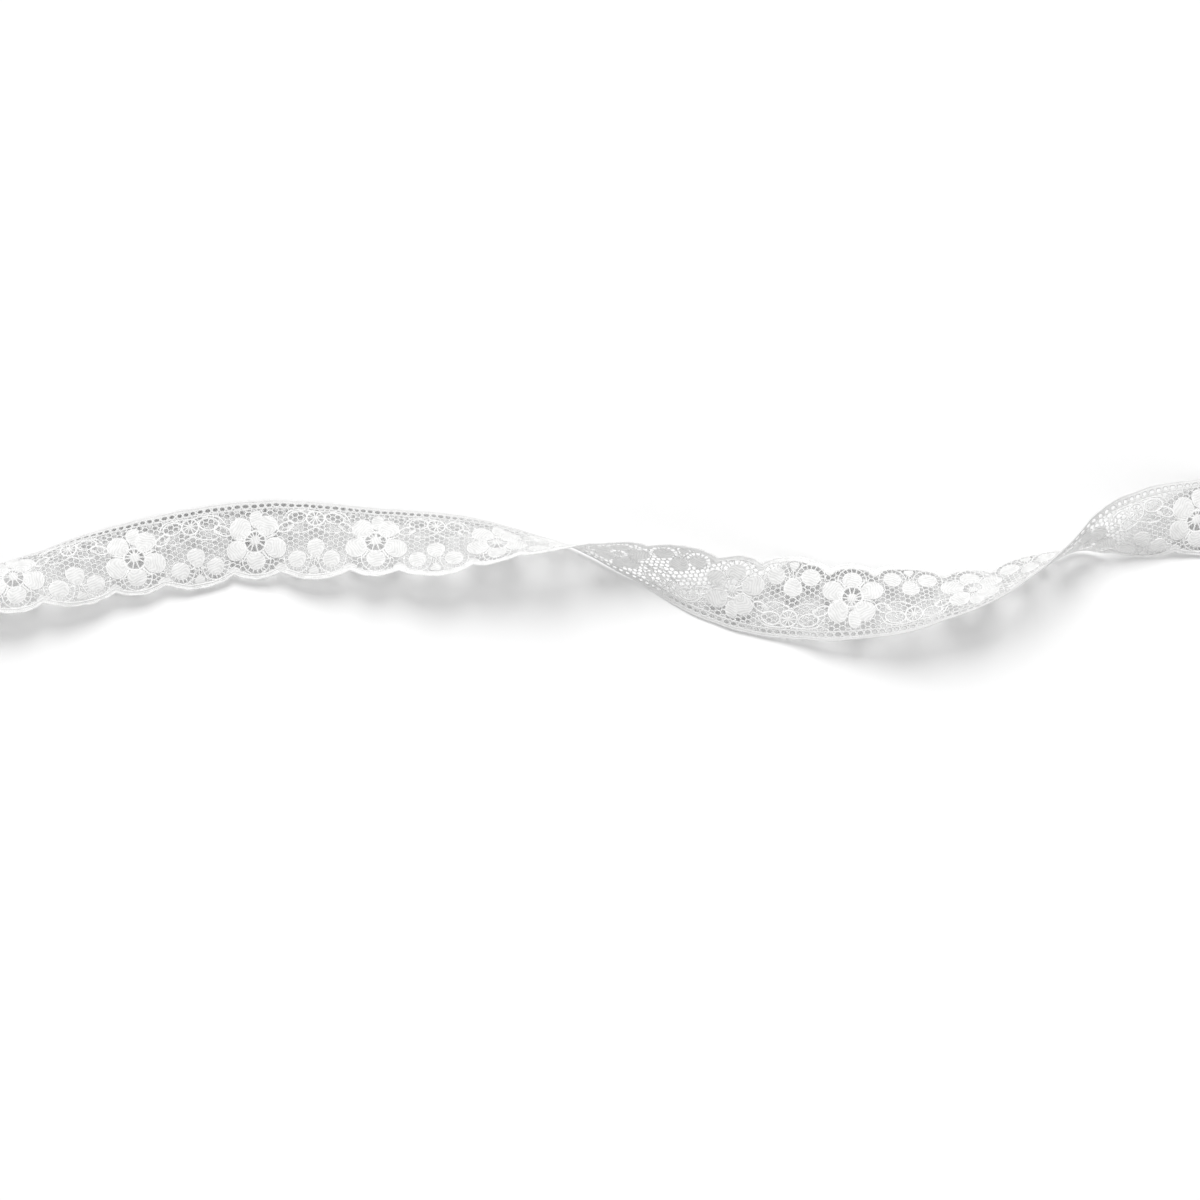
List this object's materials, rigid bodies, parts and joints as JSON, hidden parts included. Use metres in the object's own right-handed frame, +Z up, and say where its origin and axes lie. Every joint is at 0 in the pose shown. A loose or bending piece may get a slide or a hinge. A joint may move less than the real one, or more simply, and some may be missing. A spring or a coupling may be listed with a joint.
{
  "type": "twisted length of lace edging",
  "caption": "Narrow white floral lace edging with a straight footing and a scalloped edge, a cut length lying in a loose twist.",
  "frame": {"origin": "under the middle of the strip's box, on the surface that it lies on", "axes": "+X along the strip, +Y towards the footing edge where the strip lies flat, +Z up"},
  "size_m": [0.4026, 0.0506, 0.0264],
  "materials": {
    "lace": "white cotton bobbinet lace with dense clothwork flowers, soft and matt with a faint sheen"
  },
  "bodies": {
    "root": {"lace_strip": "lace"}
  },
  "joints": []
}
